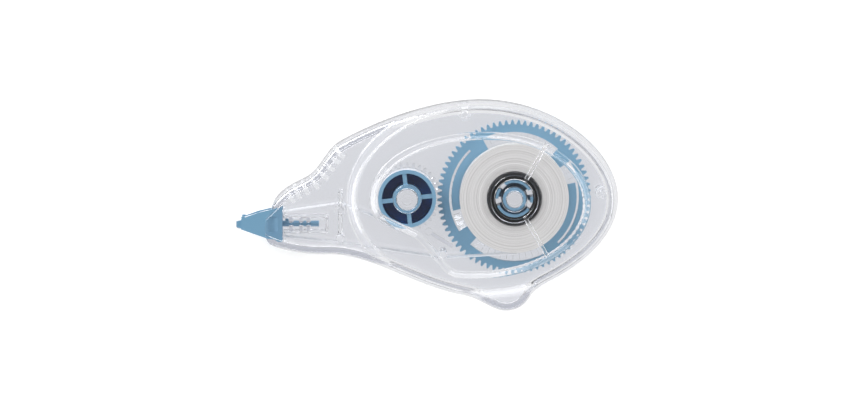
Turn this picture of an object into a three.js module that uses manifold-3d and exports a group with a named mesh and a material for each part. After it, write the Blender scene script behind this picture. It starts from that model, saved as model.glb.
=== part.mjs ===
// Correction tape dispenser: a clear two-part casing round a geared pair of reels, for 5 mm film.
// Millimetres, +Z up. The dispenser lies on its back cover, with the applicator tip towards -X and
// the thumb tab towards -Y. The origin is under the middle of its outer box, on the surface below.

import * as THREE from 'three';
import { mergeVertices } from 'three/addons/utils/BufferGeometryUtils.js';
import Module from 'manifold-3d';

const wasm = await Module();
wasm.setup();

// Film and the reels that carry it
const filmWidth = 5;
const filmThickness = 0.2;
const fullRollRadius = 13.6;
const rollLipDepth = 0.12;
const coreRadius = 6.85;
const coreWall = 1.1;
const coreOverhang = 0.6;
const drumRadius = 6.9;
const drumWall = 0.6;
const usedFilmDepth = 0.25;

// Gear pair
const toothModule = 0.5;
const supplyTeeth = 75;
const pinionTeeth = 32;
const pressureAngle = THREE.MathUtils.degToRad(20);
const toothBacklash = 0.06;
const rootClearance = 0.125;
const gearThickness = 1.8;

// Running clearances
const axialGap = 0.4;
const coverGap = 0.3;
const shaftGap = 0.15;
const seatGap = 0.05;
const tipGap = 0.3;

// Supply gear
const supplyPostRadius = 1.95;
const hubWall = 0.8;
const clutchWallRadius = 4.7;
const clutchWallDepth = 0.7;
const clutchRingHeight = 2.4;
const hubWindowAngles = [18, 135, 192, 335];
const hubWindowSpan = 24;
const rimDepth = 1.825;
const bridgeAngles = [40, 126, 220, 306];
const bridgeSpan = 15;
const springArmStarts = [126, 306];
const springArmSpan = 67;
const springArmRoom = 0.6;
const springArmWidth = 2;
const springArmInnerRoom = 1.1;

// One-way ratchet ring on the back cover
const ratchetTeeth = 60;
const ratchetRoom = 0.4;
const ratchetWidth = 1.6;
const ratchetHeight = 0.7;

// Take-up reel
const takeUpPostRadius = 2.55;
const postDimpleRadius = 1.4;
const postDimpleDepth = 2.5;
const takeUpHubWall = 0.95;
const spokeWidth = 1.05;
const spokeDepth = 1.2;
const spokeCount = 4;
const firstSpoke = 6.5;
const reelFloorDepth = 0.8;
const reelLip = 0.35;
const driveLugReach = 0.9;
const driveLugWidth = 1.2;

// Casing section
const wall = 1.4;
const noseStep = 1.3;
const sideTuck = 2.4;
const domeSlope = 2;
const leafRise = 0.9;
const leafSlope = 1.3;

// Casing outline at the parting plane
const supply = new THREE.Vector2(21.8, 1.85);
const endRoom = 6.7;
const crownRoom = 5.4;
const bellyRoom = 5.6;
const tabDrop = 3.5;
const domeRoom = 15;
const domeSideRoom = 5.65;
const domeInset = 0.1;

// Applicator tip
const tipAxisY = -4.6;
const bladeEndX = -47.5;
const cheekDepth = 0.6;
const cheekGap = 0.1;
const flangeX = -36.1;
const flangeLength = 1;
const flangeHalf = 4.3;
const bladeHalf = 0.65;
const wedgeHalf = 2.9;
const wedgeRootX = -40;
const tailEndX = -27;
const tailRadius = 0.75;
const tailGrooveRadius = 0.5;
const tailRibPlaces = [-33.9, -31.4, -29.6];
const tailRibDepth = 0.8;
const tailRibHalf = 1.7;
const scoopRadius = 3;
const scoopLength = 3.8;
const scoopDepth = 0.3;
const tipSwing = 0.65;

// Pins, posts and ribs inside the casing
const snapPostRadius = 1.45;
const snapPinRadius = 0.7;
const snapPinGap = 0.1;
const snapPinReach = 2;
const snapPostRise = 2.2;
const upperGuide = new THREE.Vector2(-21.6, -1);
const lowerGuide = new THREE.Vector2(-21.7, -8.2);
const feedPin = new THREE.Vector2(4, -12);
const guideRadius = 1;
const ribDepth = 1;
const ribHeight = 1;
const radialRibAngles = [60, -60];
const radialRibReach = 16.3;
const retainerRadius = 5.95;
const retainerWall = 0.95;
const supplySocketWall = 1.1;
const takeUpSocketWall = 0.8;

// Thumb grip on the nose
const gripRibs = 8;
const gripRibWidth = 1.1;
const gripRibReach = 3.9;
const gripRibProud = 0.25;
const gripRibSet = 1.5;
const gripRibDrop = 0.6;

// Heights, worked out from the back face upwards
const floor = wall;
const gearBottom = floor + axialGap;
const gearTop = gearBottom + gearThickness;
const filmBottom = gearTop + axialGap;
const filmTop = filmBottom + filmWidth;
const parting = (filmBottom + filmTop) / 2;
const domeTop = 2 * parting;
const ceiling = domeTop - wall;
const noseBottom = noseStep;
const noseTop = domeTop - noseStep;
const noseFloor = noseBottom + wall;
const noseCeiling = noseTop - wall;
const leafTop = domeTop + leafRise;
const leafCeiling = leafTop - wall;
const coreTop = filmTop + coreOverhang;
const hubTop = coreTop + axialGap / 2;
const postTop = leafCeiling - coverGap;
const coverReach = hubTop + coverGap;
const snapPostTop = parting + snapPostRise;

// Radii and places that follow from the gear pair
const supplyPitchRadius = toothModule * supplyTeeth / 2;
const supplyTipRadius = supplyPitchRadius + toothModule;
const rimInnerRadius = supplyPitchRadius - toothModule - rootClearance - rimDepth;
const springArmRadius = rimInnerRadius - springArmRoom;
const gearWebRadius = springArmRadius - springArmWidth - springArmInnerRoom;
const ratchetOuter = rimInnerRadius - ratchetRoom;
const ratchetInner = ratchetOuter - ratchetWidth;
const pinionPitchRadius = toothModule * pinionTeeth / 2;
const takeUp = new THREE.Vector2(supply.x - supplyPitchRadius - pinionPitchRadius, supply.y);
const usedFilmRadius = drumRadius + seatGap + usedFilmDepth;

const roundSides = 48;
const smallSides = 24;
const flat = (degrees) => THREE.MathUtils.degToRad(degrees);

// Closed geometry as a solid
function solid(geometry) {
  const bare = geometry.clone();
  bare.deleteAttribute('normal');
  bare.deleteAttribute('uv');
  const merged = mergeVertices(bare, 1e-4);
  return new wasm.Manifold(new wasm.Mesh({
    numProp: 3,
    vertProperties: new Float32Array(merged.attributes.position.array),
    triVerts: new Uint32Array(merged.index.array),
  }));
}

function join(solids) {
  return solids.reduce((sum, next) => sum.add(next));
}

function cut(body, solids) {
  return solids.reduce((rest, next) => rest.subtract(next), body);
}

function extrude(shape, bottom, top, curveSegments = roundSides / 2) {
  const geometry = new THREE.ExtrudeGeometry(shape, {
    depth: top - bottom,
    bevelEnabled: false,
    curveSegments,
  });
  geometry.translate(0, 0, bottom);
  return solid(geometry);
}

function disc(centre, radius, bottom, top, sides = smallSides) {
  const geometry = new THREE.CylinderGeometry(radius, radius, top - bottom, sides);
  geometry.rotateX(Math.PI / 2);
  geometry.translate(centre.x, centre.y, (bottom + top) / 2);
  return solid(geometry);
}

function ring(centre, inner, outer, bottom, top, sides = smallSides) {
  const gap = disc(centre, inner, bottom - 1, top + 1, sides);
  return disc(centre, outer, bottom, top, sides).subtract(gap);
}

// Box along a line from one point to another, as wide as given
function bar(from, to, width, bottom, top) {
  const length = from.distanceTo(to);
  const geometry = new THREE.BoxGeometry(length, width, top - bottom);
  geometry.rotateZ(Math.atan2(to.y - from.y, to.x - from.x));
  geometry.translate((from.x + to.x) / 2, (from.y + to.y) / 2, (bottom + top) / 2);
  return solid(geometry);
}

function polar(centre, radius, degrees) {
  return new THREE.Vector2(
    centre.x + radius * Math.cos(flat(degrees)),
    centre.y + radius * Math.sin(flat(degrees)),
  );
}

// Part of a ring between two radii and two angles
function sector(centre, inner, outer, fromDegrees, toDegrees, bottom, top) {
  const shape = new THREE.Shape();
  shape.absarc(centre.x, centre.y, outer, flat(fromDegrees), flat(toDegrees), false);
  shape.absarc(centre.x, centre.y, inner, flat(toDegrees), flat(fromDegrees), true);
  return extrude(shape, bottom, top, 10);
}

// Points moved inwards from an anticlockwise outline by a distance
function inset(points, distance) {
  return points.map((point, i) => {
    const before = points[(i + points.length - 1) % points.length];
    const after = points[(i + 1) % points.length];
    const entry = new THREE.Vector2().subVectors(point, before).normalize();
    const exit = new THREE.Vector2().subVectors(after, point).normalize();
    const mitre = new THREE.Vector2(-entry.y - exit.y, entry.x + exit.x);
    mitre.multiplyScalar(distance / (1 + entry.dot(exit)));
    return point.clone().add(mitre);
  });
}

// Closed solid through level rings of equal length, from the lowest ring to the highest
function loft(rings) {
  const count = rings[0].points.length;
  const positions = rings.flatMap(({ points, z }) => points.flatMap((p) => [p.x, p.y, z]));
  const index = [];
  for (let level = 0; level < rings.length - 1; level += 1) {
    for (let i = 0; i < count; i += 1) {
      const near = level * count + i;
      const far = level * count + (i + 1) % count;
      index.push(near, far, far + count, near, far + count, near + count);
    }
  }
  const last = (rings.length - 1) * count;
  for (const [a, b, c] of THREE.ShapeUtils.triangulateShape(rings[0].points, [])) {
    index.push(a, c, b);
  }
  for (const [a, b, c] of THREE.ShapeUtils.triangulateShape(rings.at(-1).points, [])) {
    index.push(last + a, last + b, last + c);
  }
  const geometry = new THREE.BufferGeometry();
  geometry.setAttribute('position', new THREE.Float32BufferAttribute(positions, 3));
  geometry.setIndex(index);
  return solid(geometry);
}

function openPoints(shape, divisions) {
  const points = shape.getPoints(divisions);
  if (points[0].distanceTo(points.at(-1)) < 1e-6) points.pop();
  return THREE.ShapeUtils.isClockWise(points) ? points.reverse() : points;
}

// Point beside another, and a cubic stretch whose two handles are offsets from its ends
function beside(point, dx, dy) {
  return new THREE.Vector2(point.x + dx, point.y + dy);
}

function sweep(shape, from, leave, to, arrive) {
  const first = beside(from, ...leave);
  const second = beside(to, ...arrive);
  shape.bezierCurveTo(first.x, first.y, second.x, second.y, to.x, to.y);
}

// Casing outline: nose, belly, thumb tab, round end, crown and thumb rest, anticlockwise.
// It runs on past the mouth to a point, so that the mouth is one clean cut.
const roundEnd = supply.x + supplyTipRadius + endRoom;
const endMiddle = new THREE.Vector2(roundEnd, supply.y - 0.15);
const crown = beside(supply, -8.5, supplyTipRadius + crownRoom);
const belly = beside(supply, -12, 0.3 - supplyTipRadius - bellyRoom);
const tabPeak = beside(supply, -2.3, -supplyTipRadius - bellyRoom - tabDrop);
const tabHeel = new THREE.Vector2(supply.x + 4.1, tabPeak.y + 3.7);
const quarter = beside(supply, 9, -supplyTipRadius - 1.55);
const shoulder = beside(takeUp, -16.55, 14.35);
const saddle = beside(takeUp, -24.25, 5.9);
const chin = new THREE.Vector2(takeUp.x - 19.05, tipAxisY - 7.7);
const mouthTop = new THREE.Vector2(flangeX - 1.75, tipAxisY + 6.45);
const mouthLow = new THREE.Vector2(flangeX - 4, tipAxisY - 5);
const mouthHeel = beside(mouthLow, 3.3, -1.3);
const mouthLip = new THREE.Vector2(flangeX - 4.2, tipAxisY - 1.6);
const mouthBrow = new THREE.Vector2(flangeX - 3.5, tipAxisY + 2.4);
const nosePoint = new THREE.Vector2(mouthTop.x - 8.95, tipAxisY - 2.2);

const casing = new THREE.Shape();
casing.moveTo(nosePoint.x, nosePoint.y);
casing.lineTo(mouthLow.x, mouthLow.y);
sweep(casing, mouthLow, [3.6, -1.7], chin, [-6.5, -0.3]);
sweep(casing, chin, [11, -0.3], belly, [-13.3, 2.4]);
sweep(casing, belly, [3.7, -0.9], tabPeak, [-3, 0.2]);
sweep(casing, tabPeak, [3, -0.15], tabHeel, [-1.3, -2.4]);
sweep(casing, tabHeel, [0.6, 1.2], quarter, [-2.6, -1.35]);
sweep(casing, quarter, [6.4, 3.25], endMiddle, [0, -10.3]);
sweep(casing, endMiddle, [0, 11.65], crown, [18.95, 0]);
sweep(casing, crown, [-11.8, 0], shoulder, [9, 5]);
sweep(casing, shoulder, [-3.7, -2.1], saddle, [2.9, 2.15]);
sweep(casing, saddle, [-2.3, -1.7], mouthTop, [2.85, 3.55]);
casing.closePath();
const casingPoints = openPoints(casing, 8);

// Side of the casing: upright at the parting plane, tucked in towards the flat face
function tuckAt(height) {
  const share = Math.abs(height - parting) / (domeTop - parting);
  return sideTuck * (1 - Math.sqrt(1 - Math.min(share, 1) ** 2));
}

function casingBlock(depth, to) {
  const levels = [0, 0.45, 0.75, 0.93, 1].map((share) => parting + share * (to - parting));
  const rings = levels.map((z) => {
    const outer = Math.min(Math.abs(z - parting) + depth, domeTop - parting);
    return { points: inset(casingPoints, depth + tuckAt(parting + outer * 0.97)), z };
  });
  return loft(to > parting ? rings : rings.reverse());
}

function ellipseRing(grow, z) {
  const shape = new THREE.Shape();
  const reach = (roundEnd + domeInset - takeUp.x + domeRoom) / 2;
  const centreX = roundEnd + domeInset - reach;
  const halfWidth = supplyTipRadius + domeSideRoom;
  shape.absellipse(centreX, supply.y + domeInset, reach + grow, halfWidth + grow, 0, 2 * Math.PI);
  return { points: openPoints(shape, 56), z };
}

// Everything outside the dome and beyond the nose face, which is cut away from a cover
function stepCutter(face, depth, towards) {
  const height = 6;
  const far = face + towards * height;
  const width = 4 * roundEnd;
  const block = new THREE.BoxGeometry(width, width, height).translate(0, 0, (face + far) / 2);
  const slope = domeSlope / noseStep;
  const rings = [
    ellipseRing(slope - depth, face - towards),
    ellipseRing(-slope * (height + 1) - depth, far + towards),
  ];
  const dome = loft(towards > 0 ? rings : rings.reverse());
  return solid(block).subtract(dome);
}

// Half of the casing's outer form, or of the hollow inside it when depth is the wall
function casingHalf(towards, depth) {
  const to = parting + towards * (domeTop - parting - depth);
  const face = parting + towards * (domeTop - parting - noseStep - depth);
  const half = casingBlock(depth, to);
  return half.subtract(stepCutter(face, depth, towards));
}

// The mouth: a curved edge across the nose, and room for the tip to swing
function tipProfile() {
  const shape = new THREE.Shape();
  shape.moveTo(bladeEndX + 1.1, tipAxisY - bladeHalf - 0.6);
  shape.lineTo(wedgeRootX, tipAxisY - wedgeHalf - 0.6);
  shape.lineTo(flangeX - flangeLength - 1, tipAxisY - wedgeHalf - 0.75);
  shape.lineTo(flangeX - flangeLength, tipAxisY - flangeHalf);
  shape.lineTo(flangeX, tipAxisY - flangeHalf);
  shape.lineTo(flangeX, tipAxisY + flangeHalf);
  shape.lineTo(flangeX - flangeLength, tipAxisY + flangeHalf);
  shape.lineTo(wedgeRootX + 1, tipAxisY + wedgeHalf + 0.75);
  shape.lineTo(wedgeRootX - 2.2, tipAxisY + wedgeHalf);
  shape.lineTo(bladeEndX + 2.1, tipAxisY + bladeHalf + 1.1);
  shape.lineTo(bladeEndX + 2, tipAxisY + bladeHalf + 1.3);
  shape.lineTo(bladeEndX + 1.2, tipAxisY + bladeHalf + 1.3);
  shape.closePath();
  return openPoints(shape, 1);
}

function mouthCut() {
  const front = new THREE.Shape();
  front.moveTo(mouthTop.x + 2.2, mouthTop.y + 9);
  front.lineTo(mouthTop.x - 20, mouthTop.y + 12);
  front.lineTo(mouthLow.x - 20, mouthLow.y - 12);
  front.lineTo(mouthHeel.x, mouthHeel.y - 4);
  front.lineTo(mouthHeel.x, mouthHeel.y);
  sweep(front, mouthHeel, [-2.2, 1.1], mouthLip, [0, -2.8]);
  sweep(front, mouthLip, [0, 2.2], mouthBrow, [-0.5, -1]);
  sweep(front, mouthBrow, [0.6, 1.2], mouthTop, [-0.5, -1.2]);
  front.closePath();
  const swing = { points: inset(tipProfile(), -tipSwing), z: noseFloor };
  const swingTop = { points: swing.points, z: noseCeiling };
  return extrude(front, -1, leafTop + 1).add(loft([swing, swingTop]));
}

// Ribs across the thumb rest, square to the outline
function gripBars(bottom, top) {
  const rest = new THREE.CurvePath();
  casing.curves.slice(-3, -1).forEach((curve) => rest.add(curve));
  const bars = [];
  for (let i = 0; i < gripRibs; i += 1) {
    const place = 0.1 + 0.74 * i / (gripRibs - 1);
    const point = rest.getPointAt(place);
    const along = rest.getTangentAt(place);
    const inwards = new THREE.Vector2(-along.y, along.x);
    const outer = point.clone().addScaledVector(inwards, gripRibSet);
    const inner = point.clone().addScaledVector(inwards, gripRibReach);
    bars.push(bar(outer, inner, gripRibWidth, bottom, top));
  }
  return bars;
}

// Leaf-shaped panel raised on the front of the dome, clockwise from the take-up reel's side
const leafSide = beside(takeUp, -9.1, 0.35);
const leafCrown = beside(supply, -7.3, 16.75);
const leafEnd = beside(supply, 18.7, -1.05);
const leafKeel = beside(supply, -9.4, -19.55);
const leafHeel = beside(supply, -17.5, -17.55);
const leafWaist = beside(takeUp, 1.8, -9.25);
const leafCorner = beside(takeUp, -6.25, -5.45);

function leafPoints() {
  const leaf = new THREE.Shape();
  leaf.moveTo(leafSide.x, leafSide.y);
  sweep(leaf, leafSide, [0, 9.5], leafCrown, [-16, 0]);
  sweep(leaf, leafCrown, [14.5, 0], leafEnd, [0, 10.5]);
  sweep(leaf, leafEnd, [0, -10.5], leafKeel, [14.5, 0]);
  sweep(leaf, leafKeel, [-5, 0], leafHeel, [1.6, -1.9]);
  sweep(leaf, leafHeel, [-2.3, 2.8], leafWaist, [2.2, -1.7]);
  sweep(leaf, leafWaist, [-2.6, 1.2], leafCorner, [2.4, -1.2]);
  sweep(leaf, leafCorner, [-2, 1], leafSide, [0, -3.2]);
  return openPoints(leaf, 10);
}

function leafBlock(depth) {
  const points = leafPoints();
  return loft([
    { points: inset(points, depth * 0.7 - leafSlope), z: domeTop - depth - leafRise },
    { points: inset(points, depth * 0.7 + leafSlope), z: leafTop - depth },
  ]);
}

// Snap fastenings: a post with a bore on the back cover takes a pin on the front cover
const snaps = [
  { place: beside(supply, -12.4, 21.05), from: floor, to: ceiling },
  { place: beside(supply, 21.77, 1.45), from: floor, to: ceiling },
  { place: upperGuide, from: noseFloor, to: noseCeiling },
];

function snapPost({ place, from }) {
  const boreBottom = snapPostTop - snapPinReach - 0.5;
  const post = disc(place, snapPostRadius, from - wall / 2, snapPostTop);
  const bore = disc(place, snapPinRadius + snapPinGap, boreBottom, snapPostTop + 1);
  return post.subtract(bore);
}

function snapPin({ place, to }) {
  return disc(place, snapPinRadius, snapPostTop - snapPinReach, to + wall / 2);
}

// Ribs that hold the tail of the applicator tip, half in each cover
function tailRibs(bottom, top) {
  const ribs = tailRibPlaces.map((x) => {
    const low = new THREE.Vector2(x, tipAxisY - tailRibHalf);
    const high = new THREE.Vector2(x, tipAxisY + tailRibHalf);
    return bar(low, high, tailRibDepth, bottom, top);
  });
  const bore = tailShaft(tailGrooveRadius + 0.12, tailRibPlaces[0] - 2, tailRibPlaces.at(-1) + 2);
  return cut(join(ribs), [bore]);
}

function tailShaft(radius, fromX, toX) {
  const geometry = new THREE.CylinderGeometry(radius, radius, toX - fromX, 16);
  geometry.rotateZ(Math.PI / 2);
  geometry.translate((fromX + toX) / 2, tipAxisY, parting);
  return solid(geometry);
}

// Rib across the nose, low enough for the film to pass
function noseRib(bottom, top) {
  const high = new THREE.Vector2(upperGuide.x, upperGuide.y + 4.7);
  const low = new THREE.Vector2(lowerGuide.x, lowerGuide.y + guideRadius + coverGap);
  return bar(low, high, ribDepth, bottom, top);
}

function frontCover() {
  const grip = gripBars(noseTop - gripRibDrop, noseTop + gripRibProud);
  const outer = join([casingHalf(1, 0), leafBlock(0), ...grip]);
  const hollow = casingHalf(1, wall).add(leafBlock(wall));
  const shell = cut(outer, [hollow, mouthCut()]);
  const inside = leafCeiling + wall / 4;
  const low = coreTop + coverGap;
  const supplyBore = supplyPostRadius + shaftGap;
  const takeUpBore = takeUpPostRadius + shaftGap;
  const retainer = ring(supply, retainerRadius - retainerWall, retainerRadius, low, inside, 40);
  const supplySocket = ring(supply, supplyBore, supplyBore + supplySocketWall, coverReach, inside);
  const takeUpSocket = ring(takeUp, takeUpBore, takeUpBore + takeUpSocketWall, coverReach, inside);
  const ribs = radialRibAngles.map((angle) => bar(
    polar(supply, retainerRadius - retainerWall / 2, angle),
    polar(supply, radialRibReach, angle),
    ribDepth,
    low,
    inside,
  ));
  return join([
    shell,
    retainer,
    ...ribs,
    supplySocket,
    takeUpSocket,
    ...snaps.map(snapPin),
    tailRibs(parting, noseCeiling + wall / 2),
    noseRib(noseCeiling - ribHeight, noseCeiling + wall / 2),
  ]);
}

// Sloped teeth in a ring on the floor, for the spring arms of the supply gear
function ratchetRing() {
  const pitch = 360 / ratchetTeeth;
  const rise = 0.1;
  const base = ring(supply, ratchetInner, ratchetOuter, floor - wall / 4, floor + rise, ratchetTeeth);
  const teeth = [];
  for (let i = 0; i < ratchetTeeth; i += 1) {
    const low = new THREE.Shape();
    low.moveTo(0, 0);
    low.lineTo(pitch * 0.9, 0);
    low.lineTo(pitch * 0.9, ratchetHeight);
    const wedge = new THREE.ExtrudeGeometry(low, { depth: ratchetWidth, bevelEnabled: false });
    const places = wedge.attributes.position;
    for (let v = 0; v < places.count; v += 1) {
      const point = polar(supply, ratchetInner + places.getZ(v), i * pitch + places.getX(v));
      places.setXYZ(v, point.x, point.y, floor + places.getY(v));
    }
    teeth.push(solid(wedge));
  }
  return join([base, ...teeth]);
}

// Springy arm on the floor that rests its nib by the teeth of the supply gear
function backstopArm() {
  const foot = new THREE.Vector2(takeUp.x + 5.35, takeUp.y - 8.85);
  const nib = polar(supply, supplyTipRadius + tipGap + 0.45, 218);
  return join([
    disc(foot, 0.9, floor - wall / 4, gearTop),
    bar(foot, nib, 0.8, gearBottom, gearTop),
    disc(nib, 0.45, gearBottom, gearTop, 12),
  ]);
}

function backCover() {
  const grip = gripBars(noseBottom - gripRibProud, noseBottom + gripRibDrop);
  const outer = join([casingHalf(-1, 0), ...grip]);
  const shell = cut(outer, [casingHalf(-1, wall), mouthCut()]);
  const supplyPost = disc(supply, supplyPostRadius, floor - wall / 2, postTop);
  const dimple = disc(takeUp, postDimpleRadius, postTop - postDimpleDepth, postTop + 1);
  const takeUpPost = disc(takeUp, takeUpPostRadius, floor - wall / 2, postTop, 32).subtract(dimple);
  return join([
    shell,
    supplyPost,
    takeUpPost,
    ratchetRing(),
    backstopArm(),
    ...snaps.map(snapPost),
    disc(lowerGuide, guideRadius, noseFloor - wall / 2, noseCeiling - coverGap),
    disc(feedPin, guideRadius, floor - wall / 2, ceiling - coverGap),
    tailRibs(noseFloor - wall / 2, parting),
    noseRib(noseFloor - wall / 2, noseFloor + ribHeight),
  ]);
}

// Outline of a spur gear with involute flanks
function gearOutline(centre, teeth, firstTooth) {
  const pitchRadius = toothModule * teeth / 2;
  const baseRadius = pitchRadius * Math.cos(pressureAngle);
  const radii = [
    pitchRadius - toothModule - rootClearance,
    pitchRadius,
    pitchRadius + toothModule,
  ];
  const involute = (angle) => Math.tan(angle) - angle;
  const halfAtPitch = Math.PI / (2 * teeth) - toothBacklash / (2 * pitchRadius);
  const halfAt = (radius) => {
    const angle = Math.acos(Math.min(1, baseRadius / radius));
    return halfAtPitch + involute(pressureAngle) - involute(angle);
  };
  const points = [];
  for (let tooth = 0; tooth < teeth; tooth += 1) {
    const middle = firstTooth + 2 * Math.PI * tooth / teeth;
    const rising = radii.map((radius) => ({ radius, angle: middle - halfAt(radius) }));
    const falling = radii.map((radius) => ({ radius, angle: middle + halfAt(radius) })).reverse();
    for (const { radius, angle } of [...rising, ...falling]) {
      points.push(beside(centre, radius * Math.cos(angle), radius * Math.sin(angle)));
    }
  }
  return new THREE.Shape(points);
}

// Window between two bridges of the supply gear, with a spring arm reaching into it or without
function gearWindow(fromBridge, toBridge, arm) {
  const start = fromBridge + bridgeSpan / 2;
  const end = toBridge - bridgeSpan / 2;
  const arc = (radius, from, to) => {
    const steps = Math.max(1, Math.round(Math.abs(to - from) / 7));
    const angles = Array.from({ length: steps + 1 }, (_, i) => from + (to - from) * i / steps);
    return angles.map((angle) => polar(supply, radius, angle));
  };
  const points = [...arc(gearWebRadius, start, end), ...arc(rimInnerRadius, end, start)];
  if (arm) {
    const tip = fromBridge + springArmSpan;
    points.push(...arc(springArmRadius, start, tip));
    points.push(...arc(springArmRadius - springArmWidth, tip, start));
  }
  return new THREE.Path(points);
}

function supplyGear() {
  const bore = supplyPostRadius + shaftGap;
  const gapTooth = Math.PI + Math.PI / supplyTeeth;
  const armBottom = floor + ratchetHeight + coverGap;
  const outline = gearOutline(supply, supplyTeeth, gapTooth);
  outline.holes = bridgeAngles.map((angle, i) => gearWindow(
    angle,
    i + 1 < bridgeAngles.length ? bridgeAngles[i + 1] : bridgeAngles[0] + 360,
    springArmStarts.includes(angle),
  ));
  const disk = extrude(outline, gearBottom, gearTop);
  const eye = disc(supply, bore + hubWall / 2, gearBottom - 1, gearTop + 1, 32);
  const reliefInner = gearWebRadius + 0.3;
  const reliefOuter = rimInnerRadius - 0.15;
  const relief = ring(supply, reliefInner, reliefOuter, gearBottom - 1, armBottom, 72);
  const nibs = springArmStarts.map((angle) => bar(
    polar(supply, springArmRadius - springArmWidth + 0.5, angle + springArmSpan - 3),
    polar(supply, springArmRadius - 0.3, angle + springArmSpan - 3),
    0.7,
    armBottom - 0.15,
    armBottom + 0.3,
  ));
  const hub = ring(supply, bore, bore + hubWall, gearBottom - 0.1, hubTop, 32);
  const clutchWall = ring(
    supply,
    clutchWallRadius - clutchWallDepth,
    clutchWallRadius,
    gearTop - 0.3,
    filmTop,
    40,
  );
  const windows = hubWindowAngles.map((angle) => sector(
    supply,
    bore + hubWall + 0.4,
    clutchWallRadius + 0.5,
    angle - hubWindowSpan / 2,
    angle + hubWindowSpan / 2,
    gearBottom - 1,
    filmTop + 1,
  ));
  const plate = cut(join([disk, clutchWall]), [eye, relief, ...windows]);
  return join([plate, hub, ...nibs]);
}

// Ring of revolution from a closed profile of radius and height
function turned(centre, profile, sides) {
  const points = profile.map(([radius, height]) => new THREE.Vector2(radius, height));
  const geometry = new THREE.LatheGeometry([...points, points[0].clone()], sides);
  geometry.rotateX(Math.PI / 2);
  geometry.translate(centre.x, centre.y, 0);
  return solid(geometry);
}

function clutchRing() {
  const inner = clutchWallRadius + seatGap;
  const outer = coreRadius - coreWall - seatGap;
  const middle = (filmBottom + filmTop) / 2;
  const half = clutchRingHeight / 2;
  const round = (outer - inner) / 3;
  return turned(supply, [
    [inner, middle - half + round],
    [inner + round, middle - half],
    [outer - round, middle - half],
    [outer, middle - half + round],
    [outer, middle + half - round],
    [outer - round, middle + half],
    [inner + round, middle + half],
    [inner, middle + half - round],
  ], 40);
}

function spoolCore() {
  const inner = coreRadius - coreWall;
  const foot = gearTop + coverGap;
  const edge = 0.25;
  return turned(supply, [
    [inner + edge, foot],
    [coreRadius - edge, foot],
    [coreRadius, foot + edge],
    [coreRadius, coreTop - edge],
    [coreRadius - edge, coreTop],
    [inner + edge, coreTop],
    [inner, coreTop - edge],
    [inner, foot + edge],
  ], 48);
}

// Full roll of film: its windings show as shallow steps in the face
function tapeRoll() {
  const inner = coreRadius + seatGap;
  const bands = 5;
  const face = [];
  for (let band = 0; band < bands; band += 1) {
    const from = inner + (fullRollRadius - inner) * band / bands;
    const to = inner + (fullRollRadius - inner) * (band + 1) / bands;
    const drop = band % 2 === 0 ? 0 : rollLipDepth;
    face.push([from, filmTop - drop], [to - 0.02, filmTop - drop]);
  }
  face.push([fullRollRadius, filmTop - rollLipDepth]);
  return turned(supply, [[inner, filmBottom], [fullRollRadius, filmBottom], ...face.reverse()], 72);
}

function takeUpReel() {
  const bore = takeUpPostRadius + shaftGap;
  const hubRadius = bore + takeUpHubWall;
  const lipBottom = filmTop + 0.15;
  const reelTop = filmTop + coreOverhang;
  const floorBottom = gearTop + seatGap;
  const well = drumRadius - drumWall;
  const hub = ring(takeUp, bore, hubRadius, gearBottom, hubTop, 32);
  const drum = ring(takeUp, well, drumRadius, floorBottom, reelTop, 48);
  const lip = ring(takeUp, well, drumRadius + reelLip, lipBottom, reelTop, 48);
  const base = ring(takeUp, bore + 0.2, well + 0.2, floorBottom, floorBottom + reelFloorDepth, 48);
  const spokes = [];
  for (let i = 0; i < spokeCount; i += 1) {
    const angle = firstSpoke + 360 * i / spokeCount;
    spokes.push(bar(
      polar(takeUp, hubRadius - 0.3, angle),
      polar(takeUp, well + 0.3, angle),
      spokeWidth,
      reelTop - 0.2 - spokeDepth,
      reelTop - 0.2,
    ));
  }
  const lugs = [0, 180].map((angle) => bar(
    polar(takeUp, hubRadius - 0.3, angle),
    polar(takeUp, hubRadius + driveLugReach, angle),
    driveLugWidth,
    gearBottom,
    floorBottom + 0.2,
  ));
  return join([hub, drum, lip, base, ...spokes, ...lugs]);
}

function takeUpPinion() {
  const hubRadius = takeUpPostRadius + shaftGap + takeUpHubWall;
  const gear = extrude(gearOutline(takeUp, pinionTeeth, 0), gearBottom, gearTop);
  const bore = disc(takeUp, hubRadius + 0.1, gearBottom - 1, gearTop + 1, 32);
  const slot = bar(
    polar(takeUp, hubRadius + driveLugReach + 0.1, 180),
    polar(takeUp, hubRadius + driveLugReach + 0.1, 0),
    driveLugWidth + 0.2,
    gearBottom - 1,
    gearTop + 1,
  );
  return cut(gear, [bore, slot]);
}

function usedTapeRoll() {
  return ring(takeUp, drumRadius + seatGap, usedFilmRadius, filmBottom, filmTop, 48);
}

// Applicator tip: a wedge between two cheeks, with a flange and a round grooved tail
function wedgeShape() {
  const shape = new THREE.Shape();
  shape.moveTo(flangeX, tipAxisY + wedgeHalf + 0.1);
  shape.lineTo(wedgeRootX, tipAxisY + wedgeHalf);
  shape.lineTo(bladeEndX + 0.3, tipAxisY + bladeHalf + 0.1);
  shape.lineTo(bladeEndX, tipAxisY + bladeHalf);
  shape.lineTo(bladeEndX, tipAxisY - bladeHalf);
  shape.lineTo(bladeEndX + 0.3, tipAxisY - bladeHalf - 0.1);
  shape.lineTo(wedgeRootX, tipAxisY - wedgeHalf);
  shape.lineTo(flangeX, tipAxisY - wedgeHalf - 0.1);
  shape.closePath();
  return shape;
}

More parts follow.
